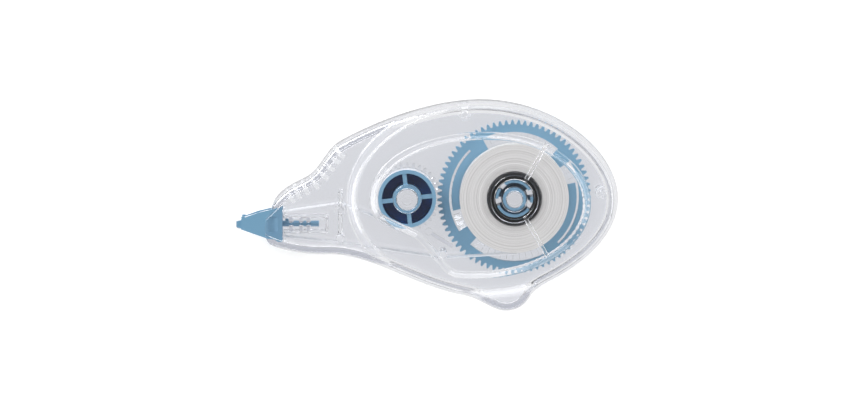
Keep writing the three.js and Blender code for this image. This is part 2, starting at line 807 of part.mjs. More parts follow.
function applicatorTip() {
  const cheekInner = filmWidth / 2 + cheekGap;
  const cheekOuter = cheekInner + cheekDepth;
  const points = tipProfile();
  const cheeks = [1, -1].map((side) => loft([
    { points, z: parting + (side > 0 ? cheekInner : -cheekOuter) },
    { points, z: parting + (side > 0 ? cheekOuter : -cheekInner) },
  ]));
  const core = extrude(wedgeShape(), parting - cheekInner - 0.1, parting + cheekInner + 0.1);
  const scoops = [1, -1].map((side) => solid(
    new THREE.CylinderGeometry(scoopRadius, scoopRadius, scoopLength, 48)
      .translate(flangeX - 2.4, tipAxisY, parting + side * (cheekOuter + scoopRadius - scoopDepth)),
  ));
  const grooves = tailRibPlaces.map((x) => {
    const half = tailRibDepth / 2 + 0.15;
    const sleeve = tailShaft(tailRadius + 0.3, x - half, x + half);
    return sleeve.subtract(tailShaft(tailGrooveRadius, x - half - 1, x + half + 1));
  });
  const tail = cut(tailShaft(tailRadius, flangeX - 0.5, tailEndX), grooves);
  const lug = bar(
    new THREE.Vector2(tailRibPlaces[0] - 1.5, tipAxisY + tailRadius - 0.2),
    new THREE.Vector2(tailRibPlaces[0] - 0.7, tipAxisY + tailRadius - 0.2),
    1.4,
    parting - 0.4,
    parting + 0.4,
  );
  return cut(join([...cheeks, core, tail, lug]), scoops);
}

// Path of the film round guides; turn is 1 where it runs anticlockwise round a guide, -1 where not
function tangentAngle(from, to) {
  const span = new THREE.Vector2().subVectors(to.centre, from.centre);
  const offset = (to.turn * to.radius - from.turn * from.radius) / span.length();
  return span.angle() - Math.asin(offset);
}

function touchPoint(guide, angle) {
  return new THREE.Vector2(
    guide.centre.x + guide.turn * guide.radius * Math.sin(angle),
    guide.centre.y - guide.turn * guide.radius * Math.cos(angle),
  );
}

function filmPath(guides) {
  const points = [];
  guides.forEach((guide, i) => {
    const entry = i > 0 ? tangentAngle(guides[i - 1], guide) : undefined;
    const exit = i < guides.length - 1 ? tangentAngle(guide, guides[i + 1]) : undefined;
    const from = entry ?? exit;
    let sweep = (exit ?? entry) - from;
    sweep -= 2 * Math.PI * Math.round(sweep / (2 * Math.PI));
    const steps = guide.radius > 0 && Math.abs(sweep) > 0.05 ? 4 : 0;
    for (let step = 0; step <= steps; step += 1) {
      points.push(touchPoint(guide, from + (steps ? sweep * step / steps : 0)));
    }
  });
  return points;
}

function ribbon(points) {
  const sideOf = (distance) => points.map((point, i) => {
    const before = points[Math.max(i - 1, 0)];
    const after = points[Math.min(i + 1, points.length - 1)];
    const entry = new THREE.Vector2().subVectors(point, before);
    const exit = new THREE.Vector2().subVectors(after, point);
    if (entry.length() === 0) entry.copy(exit);
    if (exit.length() === 0) exit.copy(entry);
    entry.normalize();
    exit.normalize();
    const mitre = new THREE.Vector2(-entry.y - exit.y, entry.x + exit.x);
    return point.clone().addScaledVector(mitre, distance / (1 + entry.dot(exit)));
  });
  const half = filmThickness / 2;
  const outline = [...sideOf(half), ...sideOf(-half).reverse()];
  const strip = THREE.ShapeUtils.isClockWise(outline) ? outline.reverse() : outline;
  return loft([{ points: strip, z: filmBottom }, { points: strip, z: filmTop }]);
}

const filmLine = seatGap + filmThickness / 2;
const filmJoinX = flangeX + 0.5;
const filmAtFlange = wedgeHalf + 0.1 + filmLine;

function guideAt(centre, radius, turn) {
  return { centre, radius: radius + filmLine, turn };
}

function feedRun() {
  return ribbon(filmPath([
    guideAt(supply, fullRollRadius + 0.1, -1),
    guideAt(feedPin, guideRadius, -1),
    guideAt(lowerGuide, guideRadius, -1),
    { centre: new THREE.Vector2(filmJoinX, tipAxisY - filmAtFlange), radius: 0, turn: 1 },
  ]));
}

function returnRun() {
  return ribbon(filmPath([
    { centre: new THREE.Vector2(filmJoinX, tipAxisY + filmAtFlange), radius: 0, turn: 1 },
    guideAt(upperGuide, snapPostRadius, -1),
    guideAt(takeUp, usedFilmRadius + 0.1, 1),
  ]));
}

function tipWrap() {
  return ribbon(inset(openPoints(wedgeShape(), 1), -filmLine));
}

// Materials
const clear = { color: 0xdfe2e8, roughness: 0.08, metalness: 0 };
const blue = { color: 0x8fb6cf, roughness: 0.35, metalness: 0 };
const natural = { color: 0xe4e8ec, roughness: 0.3, metalness: 0 };
const black = { color: 0x1b1b20, roughness: 0.45, metalness: 0 };
const rubber = { color: 0x141417, roughness: 0.7, metalness: 0 };
const white = { color: 0xe6e5e3, roughness: 0.6, metalness: 0 };
const film = { color: 0xeceef0, roughness: 0.4, metalness: 0 };

function mesh(name, body, finish) {
  const { vertProperties, triVerts } = body.getMesh();
  const geometry = new THREE.BufferGeometry();
  geometry.setAttribute('position', new THREE.BufferAttribute(new Float32Array(vertProperties), 3));
  geometry.setIndex(new THREE.BufferAttribute(new Uint32Array(triVerts), 1));
  geometry.computeVertexNormals();
  const part = new THREE.Mesh(geometry, new THREE.MeshStandardMaterial(finish));
  part.name = name;
  return part;
}

const dispenser = new THREE.Group();
dispenser.add(
  mesh('front_cover', frontCover(), clear),
  mesh('back_cover', backCover(), clear),
  mesh('supply_gear', supplyGear(), blue),
  mesh('clutch_ring', clutchRing(), rubber),
  mesh('spool_core', spoolCore(), black),
  mesh('tape_roll', tapeRoll(), white),
  mesh('take_up_pinion', takeUpPinion(), natural),
  mesh('take_up_reel', takeUpReel(), blue),
  mesh('used_tape_roll', usedTapeRoll(), film),
  mesh('applicator_tip', applicatorTip(), blue),
  mesh('tape_tip_wrap', tipWrap(), film),
  mesh('tape_feed_run', feedRun(), film),
  mesh('tape_return_run', returnRun(), film),
);

export default dispenser;
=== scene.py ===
import math

import bmesh
import bpy
import numpy as np
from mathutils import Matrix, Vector


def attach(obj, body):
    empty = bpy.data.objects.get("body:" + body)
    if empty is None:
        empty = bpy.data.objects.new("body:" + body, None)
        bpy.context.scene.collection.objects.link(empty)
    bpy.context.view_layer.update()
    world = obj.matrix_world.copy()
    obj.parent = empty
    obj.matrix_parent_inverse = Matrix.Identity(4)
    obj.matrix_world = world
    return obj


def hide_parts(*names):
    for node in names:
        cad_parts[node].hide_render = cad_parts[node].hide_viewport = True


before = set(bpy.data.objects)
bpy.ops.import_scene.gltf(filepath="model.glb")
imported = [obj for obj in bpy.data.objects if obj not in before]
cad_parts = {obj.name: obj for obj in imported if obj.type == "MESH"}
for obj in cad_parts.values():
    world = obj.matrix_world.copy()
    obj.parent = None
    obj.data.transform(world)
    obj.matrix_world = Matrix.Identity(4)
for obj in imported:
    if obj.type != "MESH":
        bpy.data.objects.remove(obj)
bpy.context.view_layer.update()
scene = bpy.context.scene
MM = 0.001

# Sizes in millimetres, as in the solids
WALL = 1.4
GEAR_BOTTOM = 1.8
GEAR_TOP = 3.6
FILM_BOTTOM = 4.0
FILM_TOP = 9.0
PARTING = 6.5
DOME_TOP = 13.0
CEILING = DOME_TOP - WALL
NOSE_STEP = 1.3
NOSE_FLOOR = NOSE_STEP + WALL
NOSE_CEILING = DOME_TOP - NOSE_FLOOR
LEAF_RISE = 0.9
LEAF_TOP = DOME_TOP + LEAF_RISE
LEAF_CEILING = LEAF_TOP - WALL
GAP = 0.3
CORE_TOP = FILM_TOP + 0.6
HUB_TOP = CORE_TOP + 0.2
POST_TOP = LEAF_CEILING - GAP
CENTRE_DISTANCE = 26.75
SUPPLY = Vector((21.8, 1.85))
TAKE_UP = Vector((21.8 - CENTRE_DISTANCE, 1.85))
TIP_Y = -4.6

# How far inner pieces sink into the wall that they stand on
SINK = 0.7
SHALLOW_SINK = 0.35
# How far a cutter reaches past what it cuts
PAST = 1


# Meshes
SOFT_STEPS = 4
TUBE_CHAMFER = 0.08
# A bar's softened lower edge is this much higher than wide, its top edge bends at this share
LOW_SLANT = 1.5
TOP_BEND = 0.3
# Corners of an inset outline are held back by this, and insets below SMALL_INSET can't cross
MITRE_FLOOR = 0.4
SMALL_INSET = 0.05
# A moved point is good when it keeps this share of its distance from the outline, less a slack
KEPT_SHARE = 0.985
KEPT_SLACK = 0.004
# The normal's share of Z above which a face counts as level
LEVEL = 0.9999


def bezier(points, a, b, c, d, steps):
    """Points of a cubic curve, added to a list without the curve's start."""
    for i in range(1, steps + 1):
        t = i / steps
        s = 1 - t
        points.append(a * s**3 + b * (3 * s * s * t) + c * (3 * s * t * t) + d * t**3)


def path(start, segments, steps):
    """Closed outline from a start point and straight or cubic segments, anticlockwise."""
    points = [Vector(start)]
    for seg in segments:
        if len(seg) == 1:
            points.append(Vector(seg[0]))
        else:
            bezier(points, points[-1].copy(), Vector(seg[0]), Vector(seg[1]), Vector(seg[2]), steps)
    if (points[0] - points[-1]).length < 1e-6:
        points.pop()
    area = sum(p.x * q.y - q.x * p.y for p, q in zip(points, points[1:] + points[:1]))
    if area < 0:
        points.reverse()
    return np.array([[p.x, p.y] for p in points])


def inset(points, distance):
    """Points moved inwards by a distance, with runs that would cross each other drawn straight."""
    before = np.roll(points, 1, axis=0)
    after = np.roll(points, -1, axis=0)
    entry = points - before
    entry /= np.linalg.norm(entry, axis=1)[:, None]
    leave = after - points
    leave /= np.linalg.norm(leave, axis=1)[:, None]
    mitre = np.stack([-entry[:, 1] - leave[:, 1], entry[:, 0] + leave[:, 0]], axis=1)
    share = 1 + np.sum(entry * leave, axis=1)
    moved = points + mitre * (distance / np.maximum(share, MITRE_FLOOR))[:, None]
    if abs(distance) < SMALL_INSET:
        return moved
    start = points[None, :, :]
    span = (after - points)[None, :, :]
    reach = moved[:, None, :] - start
    t = np.clip(np.sum(reach * span, axis=2) / np.sum(span * span, axis=2), 0, 1)
    gap = np.linalg.norm(reach - span * t[:, :, None], axis=2).min(axis=1)
    good = gap > abs(distance) * KEPT_SHARE - KEPT_SLACK
    if good.all() or not good.any():
        return moved
    count = len(points)
    index = np.arange(count)
    kept = index[good]
    for axis in (0, 1):
        moved[:, axis] = np.interp(index, kept, moved[kept, axis], period=count)
    return moved


def ellipse(cx, cy, a, b, count=200):
    angle = np.linspace(0, 2 * math.pi, count, endpoint=False)
    return np.stack([cx + a * np.cos(angle), cy + b * np.sin(angle)], axis=1)


def mesh_object(name, verts, faces):
    mesh = bpy.data.meshes.new(name)
    mesh.from_pydata([[c * MM for c in v] for v in verts], [], faces)
    mesh.validate()
    made = bpy.data.objects.new(name, mesh)
    scene.collection.objects.link(made)
    return made


def loft(rings):
    """Closed solid through level rings of (points, height), from the lowest ring to the highest."""
    count = len(rings[0][0])
    verts = [(p[0], p[1], z) for ring, z in rings for p in ring]
    faces = []
    for level in range(len(rings) - 1):
        for i in range(count):
            j = (i + 1) % count
            low = level * count
            faces.append((low + i, low + j, low + count + j, low + count + i))
    faces.append(tuple(reversed(range(count))))
    faces.append(tuple(range((len(rings) - 1) * count, len(rings) * count)))
    return mesh_object("loft", verts, faces)


def lathe(centre, profile, sides):
    """Closed ring from an anticlockwise profile of (radius, height)."""
    verts = []
    for k in range(sides):
        angle = 2 * math.pi * k / sides
        for radius, z in profile:
            verts.append((centre.x + radius * math.cos(angle),
                          centre.y + radius * math.sin(angle), z))
    n = len(profile)
    faces = []
    for k in range(sides):
        for i in range(n):
            j = (i + 1) % n
            m = (k + 1) % sides
            faces.append((k * n + i, m * n + i, m * n + j, k * n + j))
    return mesh_object("lathe", verts, faces)


def tube(centre, inner, outer, bottom, top, sides):
    """Upright tube with a chamfer on its four edges."""
    c = min(TUBE_CHAMFER, (outer - inner) / 3)
    return lathe(centre, [
        (inner, bottom + c), (inner + c, bottom), (outer - c, bottom), (outer, bottom + c),
        (outer, top - c), (outer - c, top), (inner + c, top), (inner, top - c),
    ], sides)


def disc(centre, radius, bottom, top, sides=64, round_top=0.0):
    """Upright cylinder, with its top edge rounded where asked."""
    angle = np.linspace(0, 2 * math.pi, sides, endpoint=False)
    unit = np.stack([np.cos(angle), np.sin(angle)], axis=1)
    middle = np.array([centre.x, centre.y])
    rings = [(middle + unit * radius, bottom), (middle + unit * radius, top - round_top)]
    if round_top:
        for k in range(1, SOFT_STEPS + 1):
            a = math.pi / 2 * k / SOFT_STEPS
            rings.append((middle + unit * (radius - round_top * (1 - math.cos(a))),
                          top - round_top * (1 - math.sin(a))))
    return loft(rings)


def bar(start, end, width, bottom, top, soft=0.0, low_soft=0.0):
    """Upright bar between two points, with its top or bottom edge softened where asked."""
    a, b = Vector(start), Vector(end)
    along = (b - a).normalized()
    side = Vector((-along.y, along.x)) * (width / 2)

    def ring(pull):
        s = side * (1 - 2 * pull / width)
        e = along * pull
        return np.array([[*(a - s + e)], [*(b - s - e)], [*(b + s - e)], [*(a + s + e)]])

    rings = [(ring(0), bottom + low_soft * LOW_SLANT), (ring(0), top - soft)]
    if low_soft:
        rings.insert(0, (ring(low_soft), bottom))
    if soft:
        rings.append((ring(soft * TOP_BEND), top - soft * TOP_BEND))
        rings.append((ring(soft), top))
    return loft(rings)


def polar(centre, radius, degrees):
    a = math.radians(degrees)
    return Vector((centre.x + radius * math.cos(a), centre.y + radius * math.sin(a)))


def near(point, dx, dy):
    return Vector((point.x + dx, point.y + dy))


def boolean(base, others, operation):
    """base joined with, cut by or kept inside the others, which are used up."""
    for other in others:
        mod = base.modifiers.new("b", "BOOLEAN")
        mod.object = other
        mod.operation = operation
        mod.solver = "MANIFOLD"
    graph = bpy.context.evaluated_depsgraph_get()
    graph.update()
    result = bpy.data.meshes.new_from_object(base.evaluated_get(graph))
    base.modifiers.clear()
    old = base.data
    base.data = result
    bpy.data.meshes.remove(old)
    for other in others:
        data = other.data
        bpy.data.objects.remove(other)
        bpy.data.meshes.remove(data)
    return base


def join(base, *others):
    return boolean(base, others, "UNION")


def cut(base, *others):
    return boolean(base, others, "DIFFERENCE")


def smooth(obj, degrees):
    """Smooth shading up to an angle, with the level faces kept flat to their borders."""
    mesh = obj.data
    mesh.polygons.foreach_set("use_smooth", [True] * len(mesh.polygons))
    mesh.set_sharp_from_angle(angle=math.radians(degrees))
    for poly in mesh.polygons:
        if abs(poly.normal.z) > LEVEL:
            for i in poly.loop_indices:
                mesh.edges[mesh.loops[i].edge_index].use_edge_sharp = True
    mesh.update()


def flip_if_inside_out(obj):
    bm = bmesh.new()
    bm.from_mesh(obj.data)
    if bm.calc_volume(signed=True) < 0:
        bmesh.ops.reverse_faces(bm, faces=bm.faces)
    bm.to_mesh(obj.data)
    bm.free()


# Materials
SUBSURFACE_DEPTH = 0.0012
# Rays that have gone through more surfaces than this pass straight through clear plastic
DEEPEST_RAY = 6
# What clear plastic lets through of the light on what is behind it
THROUGH = (0.95, 0.95, 0.955)
FILM_THROUGH = (0.9, 0.9, 0.91)
# Colour of the white haze: the carrier film's own milkiness, and painted highlight on the covers'
# ribs and folds
MILK_AND_HIGHLIGHT_HAZE = (0.93, 0.94, 0.96)
WINDING_DARK = (0.66, 0.645, 0.62)
WINDING_LIGHT = (0.9, 0.885, 0.86)


def math_node(tree, operation, first, second):
    """Output of a maths node fed by a socket and by another socket or a plain value."""
    node = tree.nodes.new("ShaderNodeMath")
    node.operation = operation
    tree.links.new(first, node.inputs[0])
    if isinstance(second, (int, float)):
        node.inputs[1].default_value = second
    else:
        tree.links.new(second, node.inputs[1])
    return node.outputs[0]


def mix_node(tree, share, first, second):
    """Output of two shaders mixed by a share, which is a socket or a plain value."""
    node = tree.nodes.new("ShaderNodeMixShader")
    if isinstance(share, (int, float)):
        node.inputs["Fac"].default_value = share
    else:
        tree.links.new(share, node.inputs["Fac"])
    tree.links.new(first, node.inputs[1])
    tree.links.new(second, node.inputs[2])
    return node.outputs[0]


def material(name, color, roughness, transmission=0.0, ior=1.5, sss=0.0):
    mat = bpy.data.materials.new(name)
    mat.use_nodes = True
    shader = mat.node_tree.nodes["Principled BSDF"]
    shader.inputs["Base Color"].default_value = (*color, 1)
    shader.inputs["Roughness"].default_value = roughness
    shader.inputs["Transmission Weight"].default_value = transmission
    shader.inputs["IOR"].default_value = ior
    shader.inputs["Subsurface Weight"].default_value = sss
    shader.inputs["Subsurface Radius"].default_value = (SUBSURFACE_DEPTH,) * 3
    return mat


def clear_material(name, color, roughness, ior=1.5, shade=THROUGH, milk_and_highlight=0.0):
    """Clear plastic that lets the lamps' light through to what is behind it, with a share of white
    haze: the carrier film's own milkiness, and painted highlight on the covers' ribs and folds.
    """
    mat = material(name, color, roughness, 1.0, ior)
    tree = mat.node_tree
    nodes = tree.nodes
    light = nodes.new("ShaderNodeLightPath").outputs
    lit = math_node(tree, "MAXIMUM", light["Is Shadow Ray"], light["Is Diffuse Ray"])
    deep = math_node(tree, "GREATER_THAN", light["Ray Depth"], DEEPEST_RAY)
    either = math_node(tree, "MAXIMUM", lit, deep)
    through = nodes.new("ShaderNodeBsdfTransparent")
    through.inputs["Color"].default_value = (*shade, 1)
    plastic = nodes["Principled BSDF"].outputs[0]
    if milk_and_highlight:
        haze = nodes.new("ShaderNodeBsdfDiffuse")
        haze.inputs["Color"].default_value = (*MILK_AND_HIGHLIGHT_HAZE, 1)
        plastic = mix_node(tree, milk_and_highlight, plastic, haze.outputs[0])
    surface = mix_node(tree, either, plastic, through.outputs[0])
    tree.links.new(surface, nodes["Material Output"].inputs["Surface"])
    return mat


CLEAR = clear_material("clear plastic", (0.932, 0.94, 0.967), 0.02)
# Painted highlight: the white haze on ribs and folds stands for the bright lines that light makes
# along them
RIB_HIGHLIGHT_CLEAR = clear_material("clear plastic with painted highlight on the ribs", (0.96, 0.967, 0.985), 0.18, milk_and_highlight=0.26)
FOLD_HIGHLIGHT_CLEAR = clear_material("clear plastic with painted highlight on the folds", (0.95, 0.957, 0.975), 0.12, milk_and_highlight=0.1)
NATURAL = clear_material("natural plastic", (0.95, 0.955, 0.965), 0.05, 1.45)
FILM = clear_material("carrier film", (0.95, 0.955, 0.965), 0.3, 1.35, FILM_THROUGH, 0.55)
BLUE = material("blue plastic", (0.225, 0.43, 0.595), 0.32, sss=0.1)
# Painted shade: the tip's blue plastic is darkened for the shade that falls on it
SHADED_TIP_BLUE = material("blue plastic with painted shade on the tip", (0.17, 0.34, 0.49), 0.34, sss=0.1)
# Painted shade in the deep well of the take-up reel
WELL_SHADE_BLUE = material("painted shade in the reel's well", (0.0, 0.075, 0.28), 0.45)
BLACK = material("black plastic", (0.012, 0.012, 0.014), 0.3)
RUBBER = material("black rubber", (0.012, 0.012, 0.013), 0.6)


def winding_material():
    """White roll whose windings show as fine rings round its axis."""
    mat = material("wound film", (0.8, 0.79, 0.76), 0.45)
    nodes, links = mat.node_tree.nodes, mat.node_tree.links

    def vector_math(operation, source, second=None):
        node = nodes.new("ShaderNodeVectorMath")
        node.operation = operation
        links.new(source, node.inputs[0])
        if second:
            node.inputs[1].default_value = second
        return node.outputs

    place = nodes.new("ShaderNodeTexCoord").outputs["Object"]
    place = vector_math("SUBTRACT", place, (SUPPLY.x * MM, SUPPLY.y * MM, 0))["Vector"]
    place = vector_math("MULTIPLY", place, (1 / MM, 1 / MM, 0))["Vector"]
    radius = vector_math("LENGTH", place)["Value"]
    noise = nodes.new("ShaderNodeTexNoise")
    noise.noise_dimensions = "1D"
    noise.inputs["Scale"].default_value = 2.8
    noise.inputs["Detail"].default_value = 4
    noise.inputs["Roughness"].default_value = 0.65
    links.new(radius, noise.inputs["W"])
    ramp = nodes.new("ShaderNodeValToRGB")
    stops = ((0.3, WINDING_DARK), (0.7, WINDING_LIGHT))
    for element, (position, color) in zip(ramp.color_ramp.elements, stops):
        element.position = position
        element.color = (*color, 1)
    links.new(noise.outputs["Fac"], ramp.inputs["Fac"])
    links.new(ramp.outputs["Color"], nodes["Principled BSDF"].inputs["Base Color"])
    return mat


WOUND = winding_material()


def finish_piece(obj, name, mat, slot, body, *nodes, degrees):
    """A piece made here gets its name and finish, and stands in for its CAD nodes; its slot is not
    used.
    """
    obj.name = name
    obj.data.name = name
    obj.data.materials.clear()
    obj.data.materials.append(mat)
    smooth(obj, degrees)
    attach(obj, body)
    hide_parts(*nodes)
    return obj


# Outline of the casing
OUTLINE_STEPS = 22
ROUND_END = 47.75
CROWN = Vector((13.3, 26.5))
BELLY = Vector((9.8, -22.7))
TAB_PEAK = Vector((19.5, -26.5))
TAB_HEEL = Vector((25.9, -22.8))
QUARTER = Vector((30.8, -18.95))
SHOULDER = Vector((-21.5, 16.2))
SADDLE = Vector((-29.2, 7.75))
CHIN = Vector((-24.0, -12.3))
MOUTH_TOP = Vector((-37.85, 1.85))
MOUTH_LOW = Vector((-40.1, -9.6))
NOSE_POINT = Vector((-46.8, -6.8))

THUMB_REST = [
    (near(SHOULDER, -3.7, -2.1), near(SADDLE, 2.9, 2.15), SADDLE),
    (near(SADDLE, -2.3, -1.7), near(MOUTH_TOP, 2.85, 3.55), MOUTH_TOP),
]
END_LOW = Vector((ROUND_END, SUPPLY.y - 10.45))
END_MIDDLE = Vector((ROUND_END, SUPPLY.y - 0.15))
END_HIGH = Vector((ROUND_END, SUPPLY.y + 11.5))
CASING = path(NOSE_POINT, [
    (MOUTH_LOW,),
    (near(MOUTH_LOW, 3.6, -1.7), near(CHIN, -6.5, -0.3), CHIN),
    (near(CHIN, 11, -0.3), near(BELLY, -13.3, 2.4), BELLY),
    (near(BELLY, 3.7, -0.9), near(TAB_PEAK, -3, 0.1), TAB_PEAK),
    (near(TAB_PEAK, 3, -0.05), near(TAB_HEEL, -1.3, -2.4), TAB_HEEL),
    (near(TAB_HEEL, 0.6, 1.2), near(QUARTER, -2.6, -1.35), QUARTER),
    (near(QUARTER, 6.4, 3.25), END_LOW, END_MIDDLE),
    (END_HIGH, near(CROWN, 18.95, 0), CROWN),
    (near(CROWN, -11.8, 0), near(SHOULDER, 9, 5), SHOULDER),
    *THUMB_REST,
    (NOSE_POINT,),
], OUTLINE_STEPS)

# Outline of the leaf-shaped panel
LEAF_SIDE = near(TAKE_UP, -9.1, 0.35)
LEAF_CROWN = near(SUPPLY, -7.3, 16.75)
LEAF_END = near(SUPPLY, 18.7, -1.05)
LEAF_KEEL = near(SUPPLY, -9.4, -19.55)
LEAF_HEEL = near(SUPPLY, -17.5, -17.55)
LEAF_WAIST = near(TAKE_UP, 1.8, -9.25)
LEAF_CORNER = near(TAKE_UP, -6.25, -5.45)
LEAF = path(LEAF_SIDE, [
    (near(LEAF_SIDE, 0, 9.5), near(LEAF_CROWN, -16, 0), LEAF_CROWN),
    (near(LEAF_CROWN, 14.5, 0), near(LEAF_END, 0, 10.5), LEAF_END),
    (near(LEAF_END, 0, -10.5), near(LEAF_KEEL, 14.5, 0), LEAF_KEEL),
    (near(LEAF_KEEL, -5, 0), near(LEAF_HEEL, 1.6, -1.9), LEAF_HEEL),
    (near(LEAF_HEEL, -2.3, 2.8), near(LEAF_WAIST, 2.2, -1.7), LEAF_WAIST),
    (near(LEAF_WAIST, -2.6, 1.2), near(LEAF_CORNER, 2.4, -1.2), LEAF_CORNER),
    (near(LEAF_CORNER, -2, 1), near(LEAF_SIDE, 0, -3.2), LEAF_SIDE),
], OUTLINE_STEPS)

# Outline of the cutter that opens the mouth for the applicator tip
MOUTH_STEPS = 14
MOUTH_HEEL = near(MOUTH_LOW, 3.3, -1.3)
MOUTH_LIP = Vector((-40.3, TIP_Y - 1.6))
MOUTH_BROW = Vector((-39.6, TIP_Y + 2.4))
MOUTH = path(near(MOUTH_TOP, 2.2, 9), [
    (near(MOUTH_TOP, -20, 12),),
    (near(MOUTH_LOW, -20, -12),),
    (near(MOUTH_HEEL, 0, -4),),
    (MOUTH_HEEL,),
    (near(MOUTH_HEEL, -2.2, 1.1), near(MOUTH_LIP, 0, -2.8), MOUTH_LIP),
    (near(MOUTH_LIP, 0, 2.2), near(MOUTH_BROW, -0.5, -1), MOUTH_BROW),
    (near(MOUTH_BROW, 0.6, 1.2), near(MOUTH_TOP, -0.5, -1.2), MOUTH_TOP),
], MOUTH_STEPS)

# Form of the covers
OUTER_SOFT = 0.8
INNER_SOFT = 0.3
SIDE_TUCK = 2.4
SIDE_CURVE = 0.97
SIDE_SHARES = (0, 0.2, 0.38, 0.54, 0.68, 0.8, 0.9)
DOME_HALF_LENGTH = 33.9
DOME_HALF_WIDTH = 24.9
DOME = Vector((ROUND_END + 0.1 - DOME_HALF_LENGTH, SUPPLY.y + 0.1))
DOME_SLOPE = 2.0
LEAF_SLOPE = 1.3
# Share of the wall by which the slopes of the hollow stand in, so that the wall is even there
SLOPE_SHARE = 0.28
# The block that trims the sides of the dome stands this far above it
TRIM_RISE = 0.4


def flip(rings, towards):
    """Heights counted from the parting plane turned into rings for the front or the back."""
    turned = [(points, PARTING + towards * rise) for points, rise in rings]
    return turned if towards > 0 else turned[::-1]


def side_inset(rise):
    """How far the casing's side is tucked in at a height from the parting plane."""
    share = min(rise / PARTING, 1) * SIDE_CURVE
    return SIDE_TUCK * (1 - math.sqrt(1 - share**2))


def side_block(depth, rise, soft):
    """Casing between the parting plane and a height, its sides tucked in and its edge softened."""
    rings = []
    for share in SIDE_SHARES:
        h = share * (rise - soft)
        rings.append((inset(CASING, depth + side_inset(h + depth)), h))
    for k in range(SOFT_STEPS + 1):
        a = math.pi / 2 * k / SOFT_STEPS
        h = rise - soft * (1 - math.sin(a))
        pull = soft * (1 - math.cos(a))
        rings.append((inset(CASING, depth + side_inset(rise - soft + depth) + pull), h))
    return rings


def dome_rings(depth, rise):
    """Oval dome standing on the nose faces: a flared foot, a slope and a softened edge."""
    foot = rise - NOSE_STEP
    rings = []
    for grow, h in (
        (0.35, foot - 1.5),
        (0.35, foot - 0.02),
        (0.12, foot + 0.06),
        (-0.1, foot + 0.16),
        (0.32 - DOME_SLOPE, rise - 0.24),
        (0.1 - DOME_SLOPE, rise - 0.09),
        (-0.15 - DOME_SLOPE, rise - 0.015),
        (-0.35 - DOME_SLOPE, rise),
    ):
        out = grow - depth * SLOPE_SHARE
        rings.append((ellipse(DOME.x, DOME.y, DOME_HALF_LENGTH + out, DOME_HALF_WIDTH + out), h))
    return rings


def leaf_rings(depth):
    """Leaf-shaped panel standing on the dome: a flared foot, a slope and a softened edge."""
    rings = []
    for grow, h in (
        (0.35, -1.2),
        (0.3, -0.02),
        (0.1, 0.05),
        (-0.05, 0.14),
        (0.25 - LEAF_SLOPE, LEAF_RISE - 0.16),
        (0.1 - LEAF_SLOPE, LEAF_RISE - 0.05),
        (-0.1 - LEAF_SLOPE, LEAF_RISE),
    ):
        rings.append((inset(LEAF, depth * SLOPE_SHARE - grow), DOME_TOP - depth + h))
    return rings


def form(towards, depth, soft):
    """Outer form of one cover, or the hollow inside it when depth is the wall."""
    rise = PARTING - depth
    nose = loft(flip(side_block(depth, rise - NOSE_STEP, soft), towards))
    tall = loft(flip(side_block(depth, rise + TRIM_RISE, soft * 0.5), towards))
    dome = loft(flip(dome_rings(depth, rise), towards))
    body = join(nose, boolean(dome, [tall], "INTERSECT"))
    if towards > 0:
        body = join(body, loft(leaf_rings(depth)))
    return body


def mouth():
    """Cutter for the casing's open front."""
    return loft([(MOUTH, -PAST), (MOUTH, LEAF_TOP + PAST)])


# Grip bars across the thumb rest
REST_STEPS = 40
GRIP_COUNT = 8
GRIP_FIRST = 0.1
GRIP_SPAN = 0.74
GRIP_OUTER = 1.5
GRIP_INNER = 3.9
GRIP_WIDTH = 1.1
GRIP_SINK = 0.6
GRIP_STAND = 0.25
GRIP_SOFT = 0.12


def grip_lines():
    """Outer and inner ends of the grip bars, square to the outline."""
    points = [SHOULDER.copy()]
    for first, second, end in THUMB_REST:
        bezier(points, points[-1].copy(), first, second, end, REST_STEPS)
    steps = [0.0]
    for a, b in zip(points, points[1:]):
        steps.append(steps[-1] + (b - a).length)
    ends = []
    for i in range(GRIP_COUNT):
        want = (GRIP_FIRST + GRIP_SPAN * i / (GRIP_COUNT - 1)) * steps[-1]
        k = next(j for j in range(1, len(steps)) if steps[j] >= want)
        share = (want - steps[k - 1]) / (steps[k] - steps[k - 1])
        point = points[k - 1].lerp(points[k], share)
        along = (points[k] - points[k - 1]).normalized()
        inwards = Vector((-along.y, along.x))
        ends.append((point + inwards * GRIP_OUTER, point + inwards * GRIP_INNER))
    return ends


def grip_bars(towards):
    """Bars that stand a little out of the nose's face."""
    face = PARTING + towards * (PARTING - NOSE_STEP)
    below, above, soft = GRIP_STAND, GRIP_SINK, 0.0
    if towards > 0:
        below, above, soft = GRIP_SINK, GRIP_STAND, GRIP_SOFT
    return [bar(outer, inner, GRIP_WIDTH, face - below, face + above, soft)
            for outer, inner in grip_lines()]


# Inside of the casing: snaps as place, floor and ceiling, then guides, ribs and walls
SNAPS = [
    (near(SUPPLY, -12.4, 21.05), WALL, CEILING),
    (near(SUPPLY, 21.77, 1.45), WALL, CEILING),
    (Vector((-21.6, -1.0)), NOSE_FLOOR, NOSE_CEILING),
]
SNAP_TOP = PARTING + 2.2
SNAP_RADIUS = 1.45
SNAP_ROUND = 0.15
SOCKET_RADIUS = 0.8
SOCKET_DEPTH = 2.5
SNAP_PIN_RADIUS = 0.7
SNAP_PIN_REACH = 2
GUIDE_RADIUS = 1.0
GUIDE_ROUND = 0.2
LOWER_GUIDE = Vector((-21.7, -8.2))
FEED_PIN = Vector((4.0, -12.0))
NOSE_RIB_WIDTH = 1.0
NOSE_RIB_HEIGHT = 1
NOSE_RIB_SOFT = 0.2
TAIL_RIBS = (-33.9, -31.4, -29.6)
TAIL_RIB_HALF = 1.7
TAIL_RIB_WIDTH = 0.8
TAIL_SEAT = 0.62
CHANNEL_END = -25.0
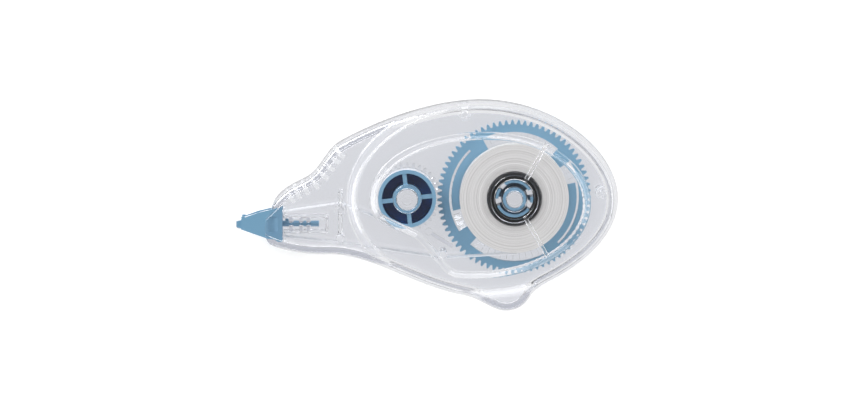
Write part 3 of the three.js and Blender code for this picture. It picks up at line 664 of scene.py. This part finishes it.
CHANNEL = [
    (Vector((-35.9, TIP_Y + side * 1.9)), Vector((CHANNEL_END, TIP_Y + side * 1.9)))
    for side in (1, -1)
]
CHANNEL.append((Vector((CHANNEL_END, TIP_Y + 2.05)), Vector((CHANNEL_END, TIP_Y - 2.05))))
CHANNEL_WIDTH = 0.5
CHANNEL_SOFT = 0.12
CHANNEL_OPEN = 1.2
WINGS = [
    (Vector((-35.7, TIP_Y + side * 1.75)), Vector((-35.7, TIP_Y + side * 4.4)))
    for side in (1, -1)
]
WING_WIDTH = 0.4
RING_INNER = 5.0
RING_OUTER = 5.95
SPOKE_ANGLES = (60, -60)
SPOKE_START = 5.45
SPOKE_END = 16.3
SPOKE_WIDTH = 1.0
SPOKE_SOFT = 0.2
SUPPLY_POST = 1.95
SUPPLY_POST_ROUND = 0.25
SUPPLY_SOCKET = (2.1, 3.2)
TAKE_UP_POST = 2.55
TAKE_UP_POST_ROUND = 0.2
TAKE_UP_BORE = 1.4
TAKE_UP_SOCKET = (2.7, 3.5)
ARM_FOOT = near(TAKE_UP, 5.35, -8.85)
ARM_FOOT_RADIUS = 0.9
ARM_WIDTH = 0.8
NIB_RADIUS = 0.45
NIB_ANGLE = 218
GEAR_RADIUS = 19.25
RATCHET_INNER = 14.3
RATCHET_OUTER = 15.9
RATCHET_LOW = 0.1
RATCHET_HIGH = 0.7
RATCHET_TEETH = 60


def shaft(radius, x0, x1, sides=32):
    """Round bar along the axis of the applicator tip's tail."""
    verts = []
    for x in (x0, x1):
        for k in range(sides):
            a = 2 * math.pi * k / sides
            verts.append((x, TIP_Y + radius * math.cos(a), PARTING + radius * math.sin(a)))
    faces = []
    for k in range(sides):
        m = (k + 1) % sides
        faces.append((k, m, sides + m, sides + k))
    faces.append(tuple(reversed(range(sides))))
    faces.append(tuple(range(sides, 2 * sides)))
    made = mesh_object("shaft", verts, faces)
    flip_if_inside_out(made)
    return made


def tail_ribs(bottom, top):
    """Ribs that hold the tip's tail, each with half of its round seat."""
    ribs = [bar((x, TIP_Y - TAIL_RIB_HALF), (x, TIP_Y + TAIL_RIB_HALF), TAIL_RIB_WIDTH, bottom, top)
            for x in TAIL_RIBS]
    return [cut(rib, shaft(TAIL_SEAT, x - PAST, x + PAST)) for rib, x in zip(ribs, TAIL_RIBS)]


def channel(bottom, top, soft=0.0, low_soft=0.0):
    """Low wall round the tail of the applicator tip."""
    walls = [bar(start, end, CHANNEL_WIDTH, bottom, top, soft, low_soft) for start, end in CHANNEL]
    return join(*walls)


def wings(bottom, top):
    """Walls behind the flange of the applicator tip, clear of the film between them."""
    return [bar(start, end, WING_WIDTH, bottom, top) for start, end in WINGS]


def nose_rib(bottom, top, soft=0.0, low_soft=0.0):
    """Rib across the nose, through the snap there."""
    return bar((-21.6, 3.7), (-21.65, LOWER_GUIDE.y + 1.3), NOSE_RIB_WIDTH, bottom, top,
               soft, low_soft)


def backstop_arm():
    """Springy arm on the floor whose nib lies against the supply gear."""
    nib = polar(SUPPLY, GEAR_RADIUS + GAP + NIB_RADIUS, NIB_ANGLE)
    return join(disc(ARM_FOOT, ARM_FOOT_RADIUS, WALL - SHALLOW_SINK, GEAR_TOP, 32),
                bar(ARM_FOOT, nib, ARM_WIDTH, GEAR_BOTTOM, GEAR_TOP),
                disc(nib, NIB_RADIUS, GEAR_BOTTOM, GEAR_TOP, 24))


def ratchet_ring():
    """Ring on the floor with sloped teeth, as one closed strip."""
    pitch = 360 / RATCHET_TEETH
    stations = []
    for i in range(RATCHET_TEETH):
        stations.append((i * pitch, WALL + RATCHET_LOW))
        stations.append((i * pitch + pitch * 0.9, WALL + RATCHET_HIGH))
        stations.append((i * pitch + pitch * 0.905, WALL + RATCHET_LOW))
    base = WALL - SHALLOW_SINK
    verts, faces = [], []
    for angle, top in stations:
        for radius, z in ((RATCHET_INNER, base), (RATCHET_OUTER, base),
                          (RATCHET_OUTER, top), (RATCHET_INNER, top)):
            p = polar(SUPPLY, radius, angle)
            verts.append((p.x, p.y, z))
    count = len(stations)
    for k in range(count):
        m = (k + 1) % count
        for i in range(4):
            j = (i + 1) % 4
            faces.append((k * 4 + i, m * 4 + i, m * 4 + j, k * 4 + j))
    ring = mesh_object("ring", verts, faces)
    flip_if_inside_out(ring)
    return ring


def shell(towards):
    """Hollow cover with its grip bars and its open mouth."""
    outside = join(form(towards, 0, OUTER_SOFT), *grip_bars(towards))
    return cut(outside, form(towards, WALL, INNER_SOFT), mouth())


def front_cover():
    cover = shell(1)
    inside = LEAF_CEILING + SHALLOW_SINK
    inside_nose = NOSE_CEILING + SINK
    extra = [
        tube(SUPPLY, RING_INNER, RING_OUTER, CORE_TOP + GAP, inside, 72),
        tube(SUPPLY, *SUPPLY_SOCKET, HUB_TOP + GAP, inside, 48),
        tube(TAKE_UP, *TAKE_UP_SOCKET, HUB_TOP + GAP, inside, 48),
        nose_rib(NOSE_CEILING - NOSE_RIB_HEIGHT, inside_nose, low_soft=NOSE_RIB_SOFT),
        channel(PARTING + CHANNEL_OPEN, inside_nose, low_soft=CHANNEL_SOFT),
    ]
    for angle in SPOKE_ANGLES:
        extra.append(bar(polar(SUPPLY, SPOKE_START, angle), polar(SUPPLY, SPOKE_END, angle),
                         SPOKE_WIDTH, CORE_TOP + GAP, inside, low_soft=SPOKE_SOFT))
    for place, _, high in SNAPS:
        extra.append(disc(place, SNAP_PIN_RADIUS, SNAP_TOP - SNAP_PIN_REACH, high + SINK, 32))
    extra += tail_ribs(PARTING, inside_nose) + wings(FILM_TOP + GAP, inside_nose)
    return join(cover, *extra)


def back_cover():
    cover = shell(-1)
    inside = WALL - SINK
    inside_nose = NOSE_FLOOR - SINK
    extra = [
        disc(SUPPLY, SUPPLY_POST, inside, POST_TOP, 48, SUPPLY_POST_ROUND),
        cut(disc(TAKE_UP, TAKE_UP_POST, inside, POST_TOP, 48, TAKE_UP_POST_ROUND),
            disc(TAKE_UP, TAKE_UP_BORE, POST_TOP - SOCKET_DEPTH, POST_TOP + PAST)),
        disc(LOWER_GUIDE, GUIDE_RADIUS, inside_nose, NOSE_CEILING - GAP, 32, GUIDE_ROUND),
        disc(FEED_PIN, GUIDE_RADIUS, inside, CEILING - GAP, 32, GUIDE_ROUND),
        nose_rib(inside_nose, NOSE_FLOOR + NOSE_RIB_HEIGHT, soft=NOSE_RIB_SOFT),
        channel(inside_nose, PARTING - CHANNEL_OPEN, soft=CHANNEL_SOFT),
        ratchet_ring(),
        backstop_arm(),
    ]
    for place, low, _ in SNAPS:
        extra.append(cut(disc(place, SNAP_RADIUS, low - SINK, SNAP_TOP, 40, SNAP_ROUND),
                         disc(place, SOCKET_RADIUS, SNAP_TOP - SOCKET_DEPTH, SNAP_TOP + PAST, 32)))
    extra += tail_ribs(inside_nose, PARTING) + wings(inside_nose, FILM_BOTTOM - GAP)
    return join(cover, *extra)


# Faces with painted highlight (white haze): how far from a rib's middle line or a pin's axis a face
# still belongs to it
SPOKE_REACH = 0.53
NOSE_RIB_REACH = 0.55
GRIP_REACH = 0.58
WALL_REACH = 0.3
SNAP_REACH = 1.5
PIN_REACH = 1.03
MOUTH_REACH = 0.05
MOUTH_BACK = -36
MOUTH_LINE = [Vector(p) for p in MOUTH]
# Heights of the folds above the face below them
DOME_FOOT = (-0.03, 0.19)
DOME_EDGE = (NOSE_STEP - 0.26, NOSE_STEP + 0.01)
LEAF_FOOT = (-0.03, 0.15)
LEAF_EDGE = (LEAF_RISE - 0.17, LEAF_RISE + 0.01)
# Distances from the foot of the dome: its foot, its edge and the part that the leaf stands on
FOOT_REACH = (-0.2, 0.4)
EDGE_REACH = 0.4
LEAF_INSIDE = -2.6
# Shares of Z in a face's normal: a fold's slope lies between the first two
UPRIGHT_TILT = 0.3
SLOPE_TILT = 0.998
# The mouth's cut faces lie below this, and a rib's sides and softened edges below the next
SIDE_TILT = 0.5
EDGE_TILT = 0.99


def in_bar(point, start, end, half):
    """Whether a point lies within a bar of that half width."""
    along = end - start
    share = (point - start).dot(along) / along.length_squared
    return -0.03 < share < 1.03 and abs((point - start).cross(along)) / along.length < half


def in_a_bar(corners, bars):
    """Whether all corners of a face lie within one of the bars."""
    return any(all(in_bar(c, start, end, half) for c in corners) for start, end, half in bars)


def dome_reach(x, y):
    """How far a point lies outside the foot of the dome."""
    dx, dy = x - DOME.x, y - DOME.y
    scaled = math.hypot(dx / DOME_HALF_LENGTH, dy / DOME_HALF_WIDTH)
    return math.hypot(dx, dy) * (1 - 1 / scaled)


def between(value, limits):
    return limits[0] < value < limits[1]


def on_fold(x, y, z, tilt):
    """Whether a face belongs to the foot or the edge of the dome or the leaf, in or outside."""
    for depth in (0, WALL):
        reach = dome_reach(x, y) + depth * SLOPE_SHARE
        rise = z + depth - (DOME_TOP - NOSE_STEP)
        if between(rise, DOME_FOOT) and between(reach, FOOT_REACH) and x < 0:
            return True
        on_edge = abs(reach + DOME_SLOPE) < EDGE_REACH and tilt < SLOPE_TILT
        if between(rise, DOME_EDGE) and on_edge:
            return True
        rise = z + depth - DOME_TOP
        sloped = UPRIGHT_TILT < tilt < SLOPE_TILT
        if between(rise, LEAF_FOOT) and sloped and reach < LEAF_INSIDE:
            return True
        if between(rise, LEAF_EDGE) and sloped:
            return True
    return False


def on_mouth(point):
    """Whether a point lies on the cut of the mouth."""
    for start, end in zip(MOUTH_LINE, MOUTH_LINE[1:] + MOUTH_LINE[:1]):
        along = end - start
        share = min(max((point - start).dot(along) / along.length_squared, 0), 1)
        if (start + along * share - point).length < MOUTH_REACH:
            return True
    return False


def paint_rib_highlights(obj):
    """Painted highlight: the moulded ribs, pins, grip bars, the mouth's cut and the folds get a
    white haze, so that they show as brighter lines than the flat walls.
    """
    obj.data.materials.append(RIB_HIGHLIGHT_CLEAR)
    obj.data.materials.append(FOLD_HIGHLIGHT_CLEAR)
    spokes = [(polar(SUPPLY, RING_INNER, angle), polar(SUPPLY, SPOKE_END, angle), SPOKE_REACH)
              for angle in SPOKE_ANGLES]
    spokes.append((Vector((-21.6, 3.75)), Vector((-21.65, -6.95)), NOSE_RIB_REACH))
    ribs = [(outer, inner, GRIP_REACH) for outer, inner in grip_lines()]
    ribs += [(start, end, WALL_REACH) for start, end in CHANNEL + WINGS]
    rings = [(place, SNAP_REACH) for place, _, _ in SNAPS]
    rings += [(LOWER_GUIDE, PIN_REACH), (FEED_PIN, PIN_REACH)]
    verts = [Vector((v.co.x, v.co.y)) / MM for v in obj.data.vertices]
    for poly in obj.data.polygons:
        corners = [verts[i] for i in poly.vertices]
        x, y, z = poly.center / MM
        tilt = abs(poly.normal.z)
        on_spoke = in_a_bar(corners, spokes)
        on_ring = any(all((place - c).length < reach for c in corners) for place, reach in rings)
        on_lip = x < MOUTH_BACK and tilt < SIDE_TILT and on_mouth(Vector((x, y)))
        if in_a_bar(corners, ribs) or on_ring or on_lip or (on_spoke and tilt < EDGE_TILT):
            poly.material_index = 1
        elif on_spoke or (z > PARTING and on_fold(x, y, z, tilt)):
            poly.material_index = 2


COVER_SMOOTH = 25
FRONT = finish_piece(front_cover(), "front_shell", CLEAR, "clear_plastic", "casing", "front_cover",
                     degrees=COVER_SMOOTH)
BACK = finish_piece(back_cover(), "back_shell", CLEAR, "clear_plastic", "casing", "back_cover",
                    degrees=COVER_SMOOTH)
paint_rib_highlights(FRONT)
paint_rib_highlights(BACK)


# Works
CAD_SMOOTH = 35
ROLL_SMOOTH = 60
ROLL_INNER = 6.9
ROLL_OUTER = 13.6
ROLL_BANDS = 70
ROLL_SIDES = 144
ROLL_LIFT = 0.08
ROLL_UNEVEN = 0.09
WAVES = 5
# Reach and top of the painted shade in the take-up reel's well
WELL_INNER = 3.75
WELL_OUTER = 6.36
WELL_TOP = 8.15


def dress(node, mat):
    """A CAD node keeps its shape and gets a finish."""
    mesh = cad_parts[node].data
    mesh.materials.clear()
    mesh.materials.append(mat)
    for poly in mesh.polygons:
        poly.use_smooth = True
    mesh.set_sharp_from_angle(angle=math.radians(CAD_SMOOTH))


for node, mat in (
    ("supply_gear", BLUE),
    ("clutch_ring", RUBBER),
    ("spool_core", BLACK),
    ("take_up_pinion", NATURAL),
    ("take_up_reel", BLUE),
    ("used_tape_roll", FILM),
    ("applicator_tip", SHADED_TIP_BLUE),
    ("tape_tip_wrap", FILM),
    ("tape_feed_run", FILM),
    ("tape_return_run", FILM),
):
    dress(node, mat)


def uneven(seed, count):
    """Smooth uneven values from 0 to 1."""
    values = []
    for i in range(count):
        wave = sum(math.sin(seed * (k + 1.7) + i * (0.31 + 0.47 * k)) / (k + 1)
                   for k in range(WAVES))
        values.append(wave)
    low, high = min(values), max(values)
    return [(v - low) / (high - low) for v in values]


def wound_roll():
    """Full roll: the edges of its windings stand a little unevenly in the face."""
    face = []
    for k, lift in enumerate(uneven(2.0, ROLL_BANDS)):
        radius = ROLL_OUTER - (ROLL_OUTER - ROLL_INNER) * k / (ROLL_BANDS - 1)
        face.append((radius, FILM_TOP - ROLL_UNEVEN * (1 - lift)))
    under = [(radius, FILM_BOTTOM + ROLL_LIFT) for radius in (ROLL_INNER, 9.0, 11.5, ROLL_OUTER)]
    return lathe(SUPPLY, under + face, ROLL_SIDES)


finish_piece(wound_roll(), "film_roll", WOUND, "white_film", "spool", "tape_roll",
             degrees=ROLL_SMOOTH)


def paint_well_shade():
    """Painted shade: the reel's floor and the inside of its drum get a dark navy, darker than its
    rims, for the shade in the deep well.
    """
    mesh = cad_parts["take_up_reel"].data
    mesh.materials.append(WELL_SHADE_BLUE)
    for poly in mesh.polygons:
        r = math.hypot(poly.center.x / MM - TAKE_UP.x, poly.center.y / MM - TAKE_UP.y)
        if WELL_INNER < r < WELL_OUTER and poly.center.z / MM < WELL_TOP:
            poly.material_index = 1


paint_well_shade()


# Stage
FLOOR_HALF = 1500
FLOOR_Z = -0.05
FLOOR_GLOW = 0.4
SEEN_THROUGH_SHARE = 0.8
SEEN_THROUGH_GLOW = 0.92
# Strength of the world, and what the horizon adds to it up to one height and less up to the next
OVERHEAD = 0.25
HORIZON = 0.42
HORIZON_TOP = 0.45
OVERHEAD_FROM = 0.8


def plane(name, half, z):
    corners = [(-half, -half, z), (half, -half, z), (half, half, z), (-half, half, z)]
    made = mesh_object(name, corners, [(0, 1, 2, 3)])
    return made


def backdrop_material():
    """Pale floor, white to the camera, that keeps its shadows; clear pieces show it as pale."""
    mat = bpy.data.materials.new("floor")
    mat.use_nodes = True
    tree = mat.node_tree
    nodes = tree.nodes
    shader = nodes["Principled BSDF"]
    shader.inputs["Base Color"].default_value = (0.8, 0.8, 0.8, 1)
    shader.inputs["Roughness"].default_value = 0.9
    shader.inputs["Specular IOR Level"].default_value = 0.0
    shader.inputs["Emission Color"].default_value = (1, 1, 1, 1)
    light = nodes.new("ShaderNodeLightPath").outputs
    glow = math_node(tree, "MULTIPLY", light["Is Camera Ray"], FLOOR_GLOW)
    tree.links.new(glow, shader.inputs["Emission Strength"])
    seen = math_node(tree, "MAXIMUM", light["Is Transmission Ray"], light["Is Glossy Ray"])
    share = math_node(tree, "MULTIPLY", seen, SEEN_THROUGH_SHARE)
    pale = nodes.new("ShaderNodeEmission")
    pale.inputs["Color"].default_value = (1, 1, 1, 1)
    pale.inputs["Strength"].default_value = SEEN_THROUGH_GLOW
    surface = mix_node(tree, share, shader.outputs[0], pale.outputs[0])
    tree.links.new(surface, nodes["Material Output"].inputs["Surface"])
    return mat


def studio_world():
    """Dim overhead; white to the camera, and a paler horizon in clear and glossy pieces."""
    world = bpy.data.worlds.new("studio")
    world.use_nodes = True
    tree = world.node_tree
    nodes, links = tree.nodes, tree.links
    background = nodes["Background"]
    background.inputs["Color"].default_value = (1, 1, 1, 1)
    coords = nodes.new("ShaderNodeTexCoord")
    split = nodes.new("ShaderNodeSeparateXYZ")
    links.new(coords.outputs["Generated"], split.inputs[0])
    level = nodes.new("ShaderNodeMapRange")
    level.inputs["From Min"].default_value = HORIZON_TOP
    level.inputs["From Max"].default_value = OVERHEAD_FROM
    level.inputs["To Min"].default_value = HORIZON
    level.inputs["To Max"].default_value = 0.0
    links.new(split.outputs["Z"], level.inputs["Value"])
    light = nodes.new("ShaderNodeLightPath").outputs
    seen = math_node(tree, "MAXIMUM", light["Is Glossy Ray"], light["Is Transmission Ray"])
    extra = math_node(tree, "MULTIPLY", seen, level.outputs[0])
    total = math_node(tree, "ADD", extra, OVERHEAD)
    shown = math_node(tree, "MAXIMUM", total, light["Is Camera Ray"])
    links.new(shown, background.inputs["Strength"])
    return world


def lamp(name, place, size_x, size_y, power):
    """Area lamp that faces the object."""
    lamp_data = bpy.data.lights.new(name, "AREA")
    lamp_data.shape = "RECTANGLE"
    lamp_data.size = size_x
    lamp_data.size_y = size_y
    lamp_data.energy = power
    obj = bpy.data.objects.new(name, lamp_data)
    obj.location = place
    obj.rotation_mode = "QUATERNION"
    obj.rotation_quaternion = (-Vector(place)).to_track_quat("-Z", "Y")
    scene.collection.objects.link(obj)


floor = plane("floor", FLOOR_HALF, FLOOR_Z)
floor.data.materials.append(backdrop_material())
scene.world = studio_world()

for name, place, size_x, size_y, power in (
    ("key", (-0.45, 0.5, 0.75), 0.5, 0.3, 3.4),
    ("strip left", (-0.62, 0.05, 0.15), 0.9, 0.35, 4.0),
    ("strip right", (0.62, 0.1, 0.15), 0.9, 0.35, 3.4),
    ("strip low", (0.05, -0.62, 0.15), 0.9, 0.35, 3.2),
    ("strip high", (0.05, 0.62, 0.15), 0.9, 0.35, 3.2),
):
    lamp(name, place, size_x, size_y, power)

# The photo is 854 pixels wide, at 4 pixels to the millimetre
PHOTO_WIDTH = 854
PIXELS_PER_MM = 4
TILT = math.radians(5.2)
camera_data = bpy.data.cameras.new("camera")
camera_data.lens = 200
camera_data.sensor_width = 36
camera_data.clip_start = 0.01
camera_data.clip_end = 20
camera = bpy.data.objects.new("camera", camera_data)
scene.collection.objects.link(camera)
scene.camera = camera
target = Vector((0, 0, PARTING * MM))
back = Vector((0, math.sin(TILT), math.cos(TILT)))
seen_width = PHOTO_WIDTH / PIXELS_PER_MM * MM
camera.location = target + back * (seen_width * camera_data.lens / camera_data.sensor_width)
camera.rotation_euler = (-TILT, 0, 0)

scene.view_settings.view_transform = "Standard"
